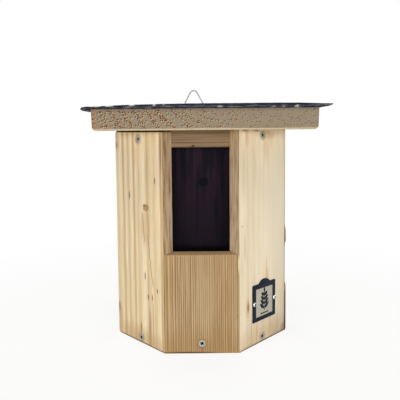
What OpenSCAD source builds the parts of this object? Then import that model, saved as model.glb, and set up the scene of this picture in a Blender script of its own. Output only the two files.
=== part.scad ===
// Half-open nest box: a mitred front panel and two angled side boards on a
// back board, a sloping roof board under one slate, and a wire hanging loop.
// X runs across the box, the open front faces -Y and Z is up. The origin is
// the centre of the underside.

/* [Body] */
// Width of the front panel over its outer corners
front_w = 86; // [72:1:110]
// Width of each side board over its outer face
side_w = 92; // [76:1:120]
// Angle by which the side boards turn back from the front
side_angle = 45; // [38:1:52]
// Thickness of the body's boards
board_t = 22; // [16:1:27]
// Thickness of the plate under the roof
ceiling_t = 20; // [16:1:27]
// Height from the base to the roof, at the front
front_h = 254; // [205:1:320]
// Height of the low front panel
panel_h = 114; // [70:1:150]
// Radius worn onto the top front edge of the panel
panel_edge_r = 1.5; // [0.5:0.5:3]
// Radius worn onto the lower rear corners of the side boards and the back board
wall_corner_r = 4; // [1:1:6]
// Hairline gap where boards meet at a mitre or round a plate
joint_gap = 0.2; // [0.1:0.05:0.4]
// How far the left side board stops short of the roof
left_wall_gap = 2; // [0.5:0.5:4]

/* [Back board] */
// Thickness of the back board
back_t = 22; // [16:1:30]
// How far the back board's left edge stays inside the left side board
back_left_in = 1.5; // [0.5:0.5:6]
// How far the bark edge stands out on the right, where it is widest
wane_w = 4.5; // [2:0.5:6]

/* [Roof] */
// Slope of the roof, down towards the front
roof_pitch = 6.5; // [3:0.5:12]
// Width of the roof board
roof_w = 233; // [225:1:290]
// Thickness of the roof board
roof_t = 22; // [16:1:30]
// How far the roof board reaches in front of the panel
roof_front = 31; // [15:1:50]
// How far the roof board sits off centre, to the right
roof_shift = 5; // [-5:1:5]
// Radius on the front and rear lower edges of the roof board
roof_edge_r = 2.5; // [1:0.5:5]
// Radius on the lower edges of the roof board's ends
roof_end_r = 4; // [1:0.5:6]

/* [Slate] */
// Thickness of the slate
slate_t = 5; // [3:0.2:8]
// Thickness of the slate over the left end of the roof board
slate_neck_t = 2.8; // [2:0.2:8]
// Thickness of the slate at its left tip
slate_left_t = 4; // [2:0.2:8]
// Thickness of the slate at its right tip
slate_right_t = 1.8; // [1:0.2:8]
// How far the slate reaches past the roof board at the front
slate_front = 3; // [1:1:12]
// How far the slate reaches past the roof board on the left
slate_left = 12; // [4:1:16]
// How far the slate reaches past the roof board on the right
slate_right = 15; // [4:1:18]
// How far the slate stays short of the roof board at the rear
slate_rear_in = 3; // [1:1:10]
// Drop of the slate's curved left end
slate_droop = 3; // [0:0.5:4]
// Rise of the slate's right tip off the board's level
slate_lift = 2; // [0:0.5:4]
// Depth of the chipped bevel round the underside
slate_bevel = 4; // [2:0.5:6]

/* [Hanger] */
// Diameter of the wire
wire_d = 1.8; // [1.4:0.2:3]
// Height of the loop above the slate, at the back
loop_rise = 25.5; // [18:0.5:45]
// Distance of the loop from the middle, to the left
loop_left = 8; // [0:1:20]
// Half the angle between the two legs of the loop
leg_angle = 28; // [15:1:35]
// Radius of the bend at the top of the loop
loop_r = 5; // [4:0.5:8]
// Length of the straight wire held by each staple
tail_l = 30; // [20:1:45]
// Width of a staple between its prongs
staple_w = 7; // [6:0.5:10]
// Length of a staple's prongs in the board
prong_l = 12; // [8:1:14]

/* [Name plate] */
// Width of the blank plate
plate_w = 46; // [36:1:56]
// Height of the blank plate below its domed top
plate_h = 45; // [30:1:60]
// Rise of the domed top
dome_rise = 5; // [3:1:8]
// Width of the domed top
dome_w = 24; // [16:1:30]
// How far the dome sits off the plate's middle, to the rear
dome_shift = 2.2; // [-3:0.2:3]
// Thickness of the plate
plate_t = 1.2; // [0.8:0.2:2]
// Distance from the front corner of the board to the plate
plate_in = 23.5; // [15:0.5:28]
// Height of the plate's lower edge above the base
plate_up = 28; // [15:1:60]
// Diameter of the plate's two fixing holes
plate_hole_d = 2.4; // [1.6:0.2:3]
// Distance of the fixing holes from the plate's side edges
plate_hole_in = 2.4; // [2.4:0.2:6]
// Height of the fixing holes above the plate's lower edge
plate_hole_up = 22; // [15:1:30]

/* [Screw holes] */
// Diameter of the screw heads' countersinks
head_d = 8.2; // [6:0.2:9]
// Diameter of the clearance holes
clear_d = 4.2; // [3:0.2:5]
// Diameter of the pilot holes in the plates
pilot_d = 2.8; // [2:0.2:3.4]
// Depth of the pilot holes
pilot_l = 20; // [10:1:24]
// Distance of the side boards' screws from the front corner
side_screw_in = 44; // [34:1:50]
// Height of the side boards' lower screws
side_screw_up = 6.5; // [5:0.5:12]
// Height of the front panel's screw
panel_screw_up = 11.5; // [6:0.5:16]
// Depth of the left upper screw below the roof
left_screw_drop = 10; // [6:0.5:12]
// Depth of the right upper screw below the roof
right_screw_drop = 6.5; // [6:0.5:12]
// Distance of the rear screws from the middle
rear_screw_out = 48; // [30:1:52]

/* [Hidden] */
$fn = 48;
past = 1;          // how far a cut runs past the face it opens
far = 600;         // longer than any side of the box

// Plan of the body
mitre_in = board_t * tan(side_angle / 2);
side_run = side_w * cos(side_angle);
side_depth = side_w * sin(side_angle);
body_half = front_w / 2 + side_run;
body_d = side_depth + back_t;
front_y = -body_d / 2;
rear_y = body_d / 2;
back_y = rear_y - back_t;
inner_front_y = front_y + board_t;
inner_front_half = front_w / 2 - mitre_in;
inner_back_half = body_half - board_t / sin(side_angle);

// The roof's underside rises towards the rear from the front panel's face
function roof_z(y) = front_h + (y - front_y) * tan(roof_pitch);
roof_l = body_d / cos(roof_pitch);

// The rear face of the roof's upper layers, where the hanger passes them
slate_top_z = roof_z(rear_y) + (roof_t + slate_t) / cos(roof_pitch);

// ---- Places ----

// Puts its children on the roof's underside, with Z square to the slope
module on_roof_plane() {
    translate([0, front_y, front_h])
        rotate([roof_pitch, 0, 0])
            children();
}

// Everything above the roof's underside, or above a plane below it
module above_roof(lower = 0) {
    on_roof_plane()
        translate([-far / 2, -far / 2, -lower])
            cube(far);
}

// Puts its children on the right board's outer face, with Z pointing out
module on_right_face(along, up) {
    translate([front_w / 2 + along * cos(side_angle), front_y + along * sin(side_angle), up])
        rotate([90, 0, side_angle])
            children();
}

module on_front_face(across, up) {
    translate([across, front_y, up])
        rotate([90, 0, 0])
            children();
}

module on_rear_face(across, up) {
    translate([across, rear_y, up])
        rotate([-90, 0, 0])
            children();
}

// ---- Screw holes ----

// A countersunk clearance hole that enters a board along -Z
module screw_hole(depth) {
    sink = (head_d - clear_d) / 2;
    rotate_extrude()
        polygon([
            [0, -depth], [clear_d / 2, -depth], [clear_d / 2, -sink],
            [head_d / 2, 0], [head_d / 2, past], [0, past]
        ]);
}

// A pilot hole in the plate behind a board of the given thickness
module pilot_hole(skin) {
    translate([0, 0, -skin - joint_gap - pilot_l])
        cylinder(d = pilot_d, h = pilot_l + past);
}

// The two screws of the right board, or of the left one when mirrored
module side_screws(drop) {
    top_y = front_y + side_screw_in * sin(side_angle);
    on_right_face(side_screw_in, roof_z(top_y) - drop)
        children();
    on_right_face(side_screw_in, side_screw_up)
        children();
}

module rear_screws() {
    for (side = [-1, 1]) {
        on_rear_face(side * rear_screw_out, board_t / 2)
            children();
        on_rear_face(side * rear_screw_out, roof_z(rear_y) - ceiling_t / 2)
            children();
    }
}

// ---- Boards of the body ----

// The low board between the two side boards, mitred at both ends
module front_panel() {
    gap = joint_gap / cos(side_angle / 2);
    color("burlywood")
        difference() {
            linear_extrude(panel_h)
                polygon([
                    [-front_w / 2 + gap, front_y], [front_w / 2 - gap, front_y],
                    [inner_front_half - gap, inner_front_y],
                    [-inner_front_half + gap, inner_front_y]
                ]);
            translate([0, front_y, panel_h])
                worn_edge(front_w + 2 * past, panel_edge_r);
            on_front_face(0, panel_screw_up)
                screw_hole(board_t + past);
        }
}

// Cuts a round onto an edge along X whose faces look to -Y and +Z
module worn_edge(length, radius) {
    translate([-length / 2, 0, 0])
        rotate([90, 0, 90])
            linear_extrude(length)
                difference() {
                    translate([-past, -radius])
                        square([radius + past, radius + past]);
                    translate([radius, -radius])
                        circle(radius);
                }
}

// A side board, drawn on the right: mitred in front, cut flat for the back
module side_board(top_gap, drop) {
    difference() {
        linear_extrude(roof_z(back_y) + past)
            polygon([
                [front_w / 2, front_y], [body_half, back_y],
                [inner_back_half, back_y], [inner_front_half, inner_front_y]
            ]);
        above_roof(top_gap);
        side_screws(drop)
            screw_hole(board_t + past);
        on_right_face(side_w, 0)
            worn_corner(wall_corner_r, board_t);
    }
}

// Cuts a round onto a corner that points to +X and -Y, through a board below it
module worn_corner(radius, depth) {
    translate([-radius, radius, -depth])
        linear_extrude(depth + past)
            difference() {
                translate([0, -radius - past])
                    square(radius + past);
                circle(radius);
            }
}

module left_wall() {
    color("wheat")
        mirror([1, 0, 0])
            side_board(left_wall_gap, left_screw_drop);
}

module right_wall() {
    color("wheat")
        side_board(0, right_screw_drop);
}

// Height and width of the bark edge, from the base up
wane = [
    [0, wane_w], [58, wane_w * 0.95], [66, wane_w * 0.3], [110, wane_w * 0.25],
    [117, wane_w * 0.9], [132, wane_w * 0.9], [140, wane_w * 0.2], [far, wane_w * 0.2]
];
// Section of the bark edge: depth into the board and share of the width
wane_section = [[0, 0.2], [0.3, 0.75], [0.6, 1], [1, 0.8]];

module bark_edge() {
    root = 2;
    top = roof_z(rear_y) + past;
    levels = [0, 30, 58, 66, 88, 110, 117, 132, 140, 190, top];
    ring = len(wane_section) + 2;
    points = [
        for (z = levels)
            for (k = [0:ring - 1])
                let (
                    edge = k > 0 && k < ring - 1,
                    depth = k == 0 ? 0 : edge ? wane_section[k - 1][0] : 1,
                    share = edge ? wane_section[k - 1][1] : 0
                )
                [
                    edge ? body_half + share * lookup(z, wane) : body_half - root,
                    back_y + depth * back_t,
                    z
                ]
    ];
    last = (len(levels) - 1) * ring;
    sides = [
        for (i = [0:len(levels) - 2])
            for (k = [0:ring - 1])
                let (a = i * ring + k, b = i * ring + (k + 1) % ring)
                each [[a, a + ring, b], [b, a + ring, b + ring]]
    ];
    polyhedron(
        points,
        concat(
            [[for (k = [0:ring - 1]) k]],
            sides,
            [[for (k = [ring - 1:-1:0]) last + k]]
        )
    );
}

// Wears the lower right corner of the back board, whose edge is at x
module worn_foot(x) {
    translate([x, back_y, 0])
        rotate([90, 0, 0])
            worn_corner(wall_corner_r, back_t + past);
}

module back_board() {
    left_x = -body_half + back_left_in;
    color("peru")
        difference() {
            union() {
                translate([left_x, back_y, 0])
                    cube([body_half - left_x, back_t, roof_z(rear_y) + past]);
                bark_edge();
            }
            above_roof();
            worn_foot(body_half + wane_w);
            mirror([1, 0, 0])
                worn_foot(-left_x);
            rear_screws()
                screw_hole(back_t + past);
            for (side = [-1, 1])
                staple_place(side)
                    staple_prongs(wire_d + 2 * joint_gap, prong_l + past);
        }
}

// ---- Plates inside the boards ----

// Plan of a plate that fills the inside of the body, less a hairline gap
module inside_plan() {
    gap = joint_gap / cos(side_angle / 2);
    slope_gap = joint_gap / sin(side_angle);
    polygon([
        [-inner_front_half + gap, inner_front_y + joint_gap],
        [inner_front_half - gap, inner_front_y + joint_gap],
        [inner_back_half - slope_gap, back_y - joint_gap],
        [-inner_back_half + slope_gap, back_y - joint_gap]
    ]);
}

module plate_pilots() {
    side_screws(right_screw_drop)
        pilot_hole(board_t);
    mirror([1, 0, 0])
        side_screws(left_screw_drop)
            pilot_hole(board_t);
    rear_screws()
        pilot_hole(back_t);
    on_front_face(0, panel_screw_up)
        pilot_hole(board_t);
}

module floor_plate() {
    color("tan")
        difference() {
            linear_extrude(board_t)
                inside_plan();
            plate_pilots();
        }
}

module ceiling_plate() {
    color("sandybrown")
        difference() {
            intersection() {
                linear_extrude(far)
                    inside_plan();
                above_roof(ceiling_t);
            }
            above_roof();
            plate_pilots();
        }
}

// ---- Roof ----

// A rectangle whose two lower corners are round
module soft_foot(width, height, radius) {
    translate([0, radius])
        square([width, height - radius]);
    translate([radius, 0])
        square([width - 2 * radius, radius + past]);
    for (x = [radius, width - radius])
        translate([x, radius])
            circle(radius);
}

module roof_board() {
    length = roof_front + roof_l;
    color("tan")
        on_roof_plane()
            translate([roof_shift - roof_w / 2, -roof_front, 0])
                intersection() {
                    translate([0, length, 0])
                        rotate([90, 0, 0])
                            linear_extrude(length)
                                soft_foot(roof_w, roof_t, roof_end_r);
                    rotate([90, 0, 90])
                        linear_extrude(roof_w)
                            soft_foot(length, roof_t, roof_edge_r);
                }
}

// The slate is a sheet of cells, with one line of them over the board's left edge
slate_over = 3;    // cells past the board on the left
slate_nx = slate_over + 28;
slate_ny = 12;

// Each edge has its own run of chips, between 0 and 1
chips_front = rands(0, 1, slate_nx + 1, 11);
chips_rear = rands(0, 1, slate_nx + 1, 12);
chips_left = rands(0, 1, slate_ny + 1, 13);
chips_right = rands(0, 1, slate_ny + 1, 14);
chip = 1.6;        // deepest bite out of the outline

function between(a, b, share) = a + (b - a) * share;

// Thickness at a distance from the left tip, and from the right tip
slate_left_end = [[0, slate_left_t], [slate_left, slate_neck_t], [slate_left + 33, slate_t]];
slate_right_end = [[0, slate_right_t], [slate_right, slate_t * 0.85], [slate_right + 20, slate_t]];

// A point of the upper or lower face; the lower one is set in by the bevel
function slate_point(i, j, lower) =
    let (
        board_x = roof_shift - roof_w / 2,
        bevel = lower ? slate_bevel : 0,
        side_bevel = min(bevel, slate_left / 2, slate_right / 2),
        front_bevel = min(bevel, slate_front) * 0.7,
        x0 = board_x - slate_left + chip * chips_left[j]
            + side_bevel * (0.6 + 0.4 * chips_left[slate_ny - j]),
        x1 = board_x + roof_w + slate_right - chip * chips_right[j]
            - side_bevel * (0.6 + 0.4 * chips_right[slate_ny - j]),
        y0 = -roof_front - slate_front + chip * chips_front[i]
            + front_bevel * chips_front[slate_nx - i],
        y1 = roof_l - slate_rear_in - chip * chips_rear[i] - bevel * 0.3,
        x = i <= slate_over
            ? between(x0, board_x, i / slate_over)
            : between(board_x, x1, (i - slate_over) / (slate_nx - slate_over)),
        y = between(y0, y1, j / slate_ny),
        rim = i == 0 || j == 0 || i == slate_nx || j == slate_ny,
        thick = min(
            lookup(x - board_x + slate_left, slate_left_end),
            lookup(board_x + roof_w + slate_right - x, slate_right_end)
        ),
        top = thick * (rim ? 0.9 - 0.2 * chips_front[i] : 1),
        curl = min(0, x - board_x) / slate_left,
        rise = max(0, x - board_x - roof_w) / slate_right
    )
    [x, y, (lower ? 0 : top) - slate_droop * curl * curl + slate_lift * rise];

module roof_slate() {
    nx = slate_nx + 1;
    ny = slate_ny + 1;
    points = [
        for (lower = [true, false])
            for (j = [0:ny - 1])
                for (i = [0:nx - 1])
                    slate_point(i, j, lower)
    ];
    up = nx * ny;
    sheet = [
        for (j = [0:ny - 2])
            for (i = [0:nx - 2])
                let (a = j * nx + i, b = a + 1, c = a + nx, d = c + 1)
                each [
                    [a, b, d], [a, d, c],
                    [up + a, up + d, up + b], [up + a, up + c, up + d]
                ]
    ];
    front_rear = [
        for (i = [0:nx - 2])
            let (a = i, b = i + 1, c = (ny - 1) * nx + i, d = c + 1)
            each [
                [a, up + a, up + b], [a, up + b, b],
                [c, d, up + d], [c, up + d, up + c]
            ]
    ];
    ends = [
        for (j = [0:ny - 2])
            let (a = j * nx, b = a + nx, c = a + nx - 1, d = c + nx)
            each [
                [a, b, up + b], [a, up + b, up + a],
                [c, up + c, up + d], [c, up + d, d]
            ]
    ];
    color("darkslategray")
        on_roof_plane()
            translate([0, 0, roof_t])
                polyhedron(points, concat(sheet, front_rear, ends));
}

// ---- Hanger ----

wire_r = wire_d / 2;
wire_y = rear_y + joint_gap + wire_r;
loop_top_z = slate_top_z + loop_rise;
loop_z = loop_top_z - wire_r - loop_r;      // centre of the top bend
foot_r = 8;                                 // bend at the foot of each leg
foot_z = roof_z(rear_y) - 2;                // where the straight tail starts
foot_x = loop_r * cos(leg_angle) - foot_r * cos(leg_angle)
    + (loop_z - foot_z + (loop_r - foot_r) * sin(leg_angle)) * tan(leg_angle);
tail_x = foot_x + foot_r;
wire_sides = 12;

// Points of a bend in the XZ plane, each with the angle of its outward side
function bend(x, z, radius, from, to, steps) = [
    for (k = [0:steps])
        let (a = from + (to - from) * k / steps)
        [x + radius * cos(a), z + radius * sin(a), a]
];

// The wire's centre line, from the left tail over the loop to the right tail
wire_path = concat(
    [[-tail_x, foot_z - tail_l, 180]],
    bend(-foot_x, foot_z, foot_r, 180, 180 - leg_angle, 4),
    bend(0, loop_z, loop_r, 180 - leg_angle, leg_angle, 14),
    bend(foot_x, foot_z, foot_r, leg_angle, 0, 4),
    [[tail_x, foot_z - tail_l, 0]]
);

module hanger_wire() {
    last = (len(wire_path) - 1) * wire_sides;
    points = [
        for (p = wire_path)
            for (k = [0:wire_sides - 1])
                let (t = 360 * k / wire_sides, out = wire_r * cos(t))
                [p[0] + out * cos(p[2]), wire_r * sin(t), p[1] + out * sin(p[2])]
    ];
    skin = [
        for (i = [0:len(wire_path) - 2])
            for (k = [0:wire_sides - 1])
                let (a = i * wire_sides + k, b = i * wire_sides + (k + 1) % wire_sides)
                each [[a, b, b + wire_sides], [a, b + wire_sides, a + wire_sides]]
    ];
    color("silver")
        translate([-loop_left, wire_y, 0])
            polyhedron(
                points,
                concat(
                    [[for (k = [wire_sides - 1:-1:0]) k]],
                    skin,
                    [[for (k = [0:wire_sides - 1]) last + k]]
                )
            );
}

// Puts its children over one tail of the wire, with Z into the board
module staple_place(side) {
    translate([-loop_left + side * tail_x, rear_y, foot_z - tail_l / 2])
        rotate([90, 0, 0])
            children();
}

module staple_prongs(diameter, depth) {
    for (x = [-staple_w / 2, staple_w / 2])
        translate([x, 0, 0])
            cylinder(d = diameter, h = depth);
}

// A bent wire staple: two prongs and a crown that passes behind the tail
module staple() {
    crown = wire_d + 2 * joint_gap + wire_r;
    bend_r = wire_r + 0.6;
    staple_prongs(wire_d, prong_l);
    for (side = [-1, 1]) {
        translate([side * staple_w / 2, 0, bend_r - crown])
            cylinder(d = wire_d, h = crown - bend_r);
        translate([side * (staple_w / 2 - bend_r), 0, bend_r - crown])
            rotate([0, side < 0 ? 180 : 0, 0])
                rotate([90, 0, 0])
                    rotate([0, 0, side < 0 ? 0 : -90])
                        rotate_extrude(angle = 90)
                            translate([bend_r, 0])
                                circle(d = wire_d);
    }
    translate([-staple_w / 2 + bend_r, 0, -crown])
        rotate([0, 90, 0])
            cylinder(d = wire_d, h = staple_w - 2 * bend_r);
}

module left_staple() {
    color("silver")
        staple_place(-1)
            staple();
}

module right_staple() {
    color("silver")
        staple_place(1)
            staple();
}

// ---- Name plate ----

// A low arched shape that stands on the X axis
module dome(width, rise) {
    radius = (width * width / 4 + rise * rise) / (2 * rise);
    intersection() {
        translate([0, rise - radius])
            circle(radius);
        translate([-width / 2, -past])
            square([width, rise + 2 * past]);
    }
}

// Blank plate with a domed top, flat on the right board
module name_plate() {
    color("midnightblue")
        on_right_face(plate_in, plate_up)
            translate([0, 0, joint_gap])
                linear_extrude(plate_t)
                    difference() {
                        union() {
                            square([plate_w, plate_h]);
                            translate([plate_w / 2 + dome_shift, plate_h])
                                dome(dome_w, dome_rise);
                        }
                        for (x = [plate_hole_in, plate_w - plate_hole_in])
                            translate([x, plate_hole_up])
                                circle(d = plate_hole_d);
                    }
}

front_panel();
left_wall();
right_wall();
back_board();
floor_plate();
ceiling_plate();
roof_board();
roof_slate();
hanger_wire();
left_staple();
right_staple();
name_plate();
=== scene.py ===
import math

import bmesh
import bpy
from mathutils import Euler, Matrix, Vector, noise


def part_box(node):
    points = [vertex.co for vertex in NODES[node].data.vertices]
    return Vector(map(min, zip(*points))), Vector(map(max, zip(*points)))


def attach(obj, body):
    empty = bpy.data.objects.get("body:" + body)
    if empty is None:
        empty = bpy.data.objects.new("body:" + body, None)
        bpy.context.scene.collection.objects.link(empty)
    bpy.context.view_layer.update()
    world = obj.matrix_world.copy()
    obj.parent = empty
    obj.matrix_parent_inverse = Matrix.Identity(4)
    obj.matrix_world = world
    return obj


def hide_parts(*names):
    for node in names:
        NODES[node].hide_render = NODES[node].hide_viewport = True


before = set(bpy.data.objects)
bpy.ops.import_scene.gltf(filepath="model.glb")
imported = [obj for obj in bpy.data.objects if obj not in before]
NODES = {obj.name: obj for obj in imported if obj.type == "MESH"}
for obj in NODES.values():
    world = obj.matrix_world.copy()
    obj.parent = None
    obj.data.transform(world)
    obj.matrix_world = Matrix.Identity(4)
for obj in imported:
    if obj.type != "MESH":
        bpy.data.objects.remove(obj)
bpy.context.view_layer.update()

BODY = "root"
MM = 0.001

# ---- Places taken from the frame ----

SIDE_ANGLE = math.radians(45)          # how far each side board turns back
ROOF_PITCH = math.radians(6.5)

_low, _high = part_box("right_wall")
SIDE_RUN = _high.y - _low.y            # a side board runs as far out as back
CORNER = Vector((_high.x - SIDE_RUN, _low.y, 0))     # outer front corner, right
BACK_Y = _high.y                       # inner face of the back board
BACK_EDGE_X = _high.x                  # straight part of the back board's right edge
_low, _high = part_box("front_panel")
FRONT_Y = _low.y
BOARD_T = _high.y - _low.y
REAR_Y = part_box("back_board")[1].y

SIDE_ACROSS = Vector((math.cos(SIDE_ANGLE), math.sin(SIDE_ANGLE), 0))
SIDE_OUT = Vector((math.sin(SIDE_ANGLE), -math.cos(SIDE_ANGLE), 0))
X, Y, Z = Vector((1, 0, 0)), Vector((0, 1, 0)), Vector((0, 0, 1))

# The roof's underside meets the front panel's plane at this height
ROOF_HEIGHT = 254 * MM
ROOF_FOOT = Vector((0, FRONT_Y, ROOF_HEIGHT))
ROOF_BACK = Vector((0, math.cos(ROOF_PITCH), math.sin(ROOF_PITCH)))
ROOF_UP = Vector((0, -math.sin(ROOF_PITCH), math.cos(ROOF_PITCH)))
ROOF_T = 22 * MM

MERGE = 0.005 * MM                     # vertices nearer than this are one


def mirrored(vector):
    return Vector((-vector.x, vector.y, vector.z))


LEFT_OUT = mirrored(SIDE_OUT)


def on_side(side, along, up, out=0.0):
    """A point on a side board's outer face, in mm from its front corner and the base."""
    point = CORNER + SIDE_ACROSS * along * MM + SIDE_OUT * out * MM + Z * up * MM
    return point if side > 0 else mirrored(point)


def on_roof(across, back, up):
    """A point in mm over the roof's underside: across the box, up the slope, square to it."""
    return ROOF_FOOT + X * across * MM + ROOF_BACK * back * MM + ROOF_UP * up * MM


# ---- Helpers ----

COORD = "ShaderNodeTexCoord"
MAPPING = "ShaderNodeMapping"
MATH = "ShaderNodeMath"
VECTOR = "ShaderNodeVectorMath"
SPLIT = "ShaderNodeSeparateXYZ"
COMBINE = "ShaderNodeCombineXYZ"
NOISE = "ShaderNodeTexNoise"
CELLS = "ShaderNodeTexVoronoi"
MIX = "ShaderNodeMix"
RANGE = "ShaderNodeMapRange"
RAMP = "ShaderNodeValToRGB"
BUMP = "ShaderNodeBump"
ATTRIBUTE = "ShaderNodeAttribute"
SURFACE = "ShaderNodeBsdfPrincipled"
OUTPUT = "ShaderNodeOutputMaterial"
MOVE = "GeometryNodeTransform"
CONE = "GeometryNodeMeshCone"
STORE = "GeometryNodeStoreNamedAttribute"
GROUP_IN, GROUP_OUT = "NodeGroupInput", "NodeGroupOutput"


def colour(hex_value):
    """Linear RGBA of an sRGB hex colour."""
    parts = [int(hex_value[i:i + 2], 16) / 255 for i in (1, 3, 5)]
    linear = [p / 12.92 if p <= 0.04045 else ((p + 0.055) / 1.055) ** 2.4 for p in parts]
    return (*linear, 1.0)


def usable(sockets, key):
    """A socket by its place, or the one of that name that the node's settings use."""
    if isinstance(key, int):
        return sockets[key]
    return next(s for s in sockets if s.name == key and s.enabled)


def add(tree, kind, inputs=None, stops=None, **settings):
    """Adds a node. An input is a value, a socket, a node whose first output it takes, or a list."""
    made = tree.nodes.new(kind)
    for name, value in settings.items():
        setattr(made, name, value)
    for key, given in (inputs or {}).items():
        target = usable(made.inputs, key)
        for value in given if isinstance(given, list) else [given]:
            if isinstance(value, bpy.types.Node):
                value = next(s for s in value.outputs if s.enabled)
            if isinstance(value, bpy.types.NodeSocket):
                tree.links.new(value, target)
            else:
                target.default_value = value
    if stops:
        points = made.color_ramp.elements
        points.remove(points[-1])
        for k, (place, level) in enumerate(stops):
            stop = points[0] if k == 0 else points.new(place)
            stop.position = place
            stop.color = (level, level, level, 1)
    return made


def new_material(name):
    made = bpy.data.materials.new(name)
    made.use_nodes = True
    made.node_tree.nodes.clear()
    return made, made.node_tree


def finish_surface(tree, base, rough, height=None, relief=0.1, **constants):
    """Ends a material; relief is the depth in mm that a height of 1 stands for."""
    inputs = {"Base Color": base, "Roughness": rough}
    if height is not None:
        inputs["Normal"] = add(tree, BUMP, {"Height": height, "Strength": 1.0,
                                            "Distance": relief * MM})
    inputs.update(constants)
    surface = add(tree, SURFACE, inputs)
    add(tree, OUTPUT, {"Surface": surface})


def painted(tree, base, *coats):
    """Lays coats over a base; each coat is how much of it there is, and its colour."""
    for share, tone in coats:
        base = add(tree, MIX, {"Factor": share, "A": base, "B": tone}, data_type="RGBA")
    return base


def own_axes(tree, origin, across, depth):
    """Object coordinates in mm in a board's own axes: across it, into it, along its grain."""
    axes = Matrix((across, depth, across.cross(depth)))
    coords = add(tree, COORD)
    place = add(tree, MAPPING, {
        "Vector": coords.outputs["Object"],
        "Scale": (1 / MM,) * 3,
        "Rotation": axes.to_euler(),
        "Location": -(axes @ origin) / MM,
    })
    return coords, place


def faces_along(tree, coords, direction, start=0.9, end=0.96):
    """1 where the surface faces that way, 0 where it faces elsewhere."""
    facing = add(tree, VECTOR, {0: coords.outputs["Normal"], 1: direction},
                 operation="DOT_PRODUCT")
    return add(tree, RANGE, {"Value": facing, "From Min": start, "From Max": end})


# ---- Timber ----

def spot(tree, place, centre, size, soft=0.5, ragged=0.4):
    """1 inside an oval on the face, 0 outside; centre and half sizes in mm."""
    offset = add(tree, VECTOR, {0: place, 1: (centre[0], 0, centre[1])}, operation="SUBTRACT")
    scaled = add(tree, VECTOR, {0: offset, 1: (1 / size[0], 0, 1 / size[1])},
                 operation="MULTIPLY")
    reach = add(tree, VECTOR, {0: scaled}, operation="LENGTH")
    rough = add(tree, NOISE, {"Vector": place, "Scale": 0.8, "Detail": 2.0})
    reach = add(tree, MATH, {0: rough, 1: 2 * ragged, 2: reach}, operation="MULTIPLY_ADD")
    return add(tree, RANGE, {"Value": reach, "From Min": 1 + ragged + soft,
                             "From Max": 1 + ragged - soft}, interpolation_type="SMOOTHSTEP")


def crack(tree, place, across, low, high, slant, sway, wide=0.35):
    """1 along a thin line that wanders up the face between two heights; sizes in mm."""
    parts = add(tree, SPLIT, {0: place})
    up = parts.outputs["Z"]
    wander = add(tree, NOISE, {"W": up, "Scale": 0.07, "Detail": 3.0}, noise_dimensions="1D")
    middle = across - sway - slant * (low + high) / 2
    path = add(tree, MATH, {0: wander, 1: 2 * sway, 2: middle}, operation="MULTIPLY_ADD")
    path = add(tree, MATH, {0: up, 1: slant, 2: path}, operation="MULTIPLY_ADD")
    aside = add(tree, MATH, {0: parts.outputs["X"], 1: path}, operation="SUBTRACT")
    aside = add(tree, MATH, {0: aside}, operation="ABSOLUTE")
    inside = add(tree, RANGE, {"Value": aside, "From Min": 2 * wide, "From Max": 0.4 * wide})
    for edge, beyond in ((low, low - 4), (high, high + 4)):
        shown = add(tree, RANGE, {"Value": up, "From Min": beyond, "From Max": edge})
        inside = add(tree, MATH, {0: inside, 1: shown}, operation="MULTIPLY")
    return inside


# Strength of the dark late wood through one growth ring
CRISP_RING = [(0.0, 0.0), (0.42, 0.06), (0.72, 0.55), (0.86, 1.0), (0.94, 0.85), (1.0, 0.0)]
BROAD_RING = [(0.0, 0.3), (0.2, 0.0), (0.45, 0.3), (0.7, 1.0), (0.84, 0.9), (1.0, 0.3)]


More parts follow.
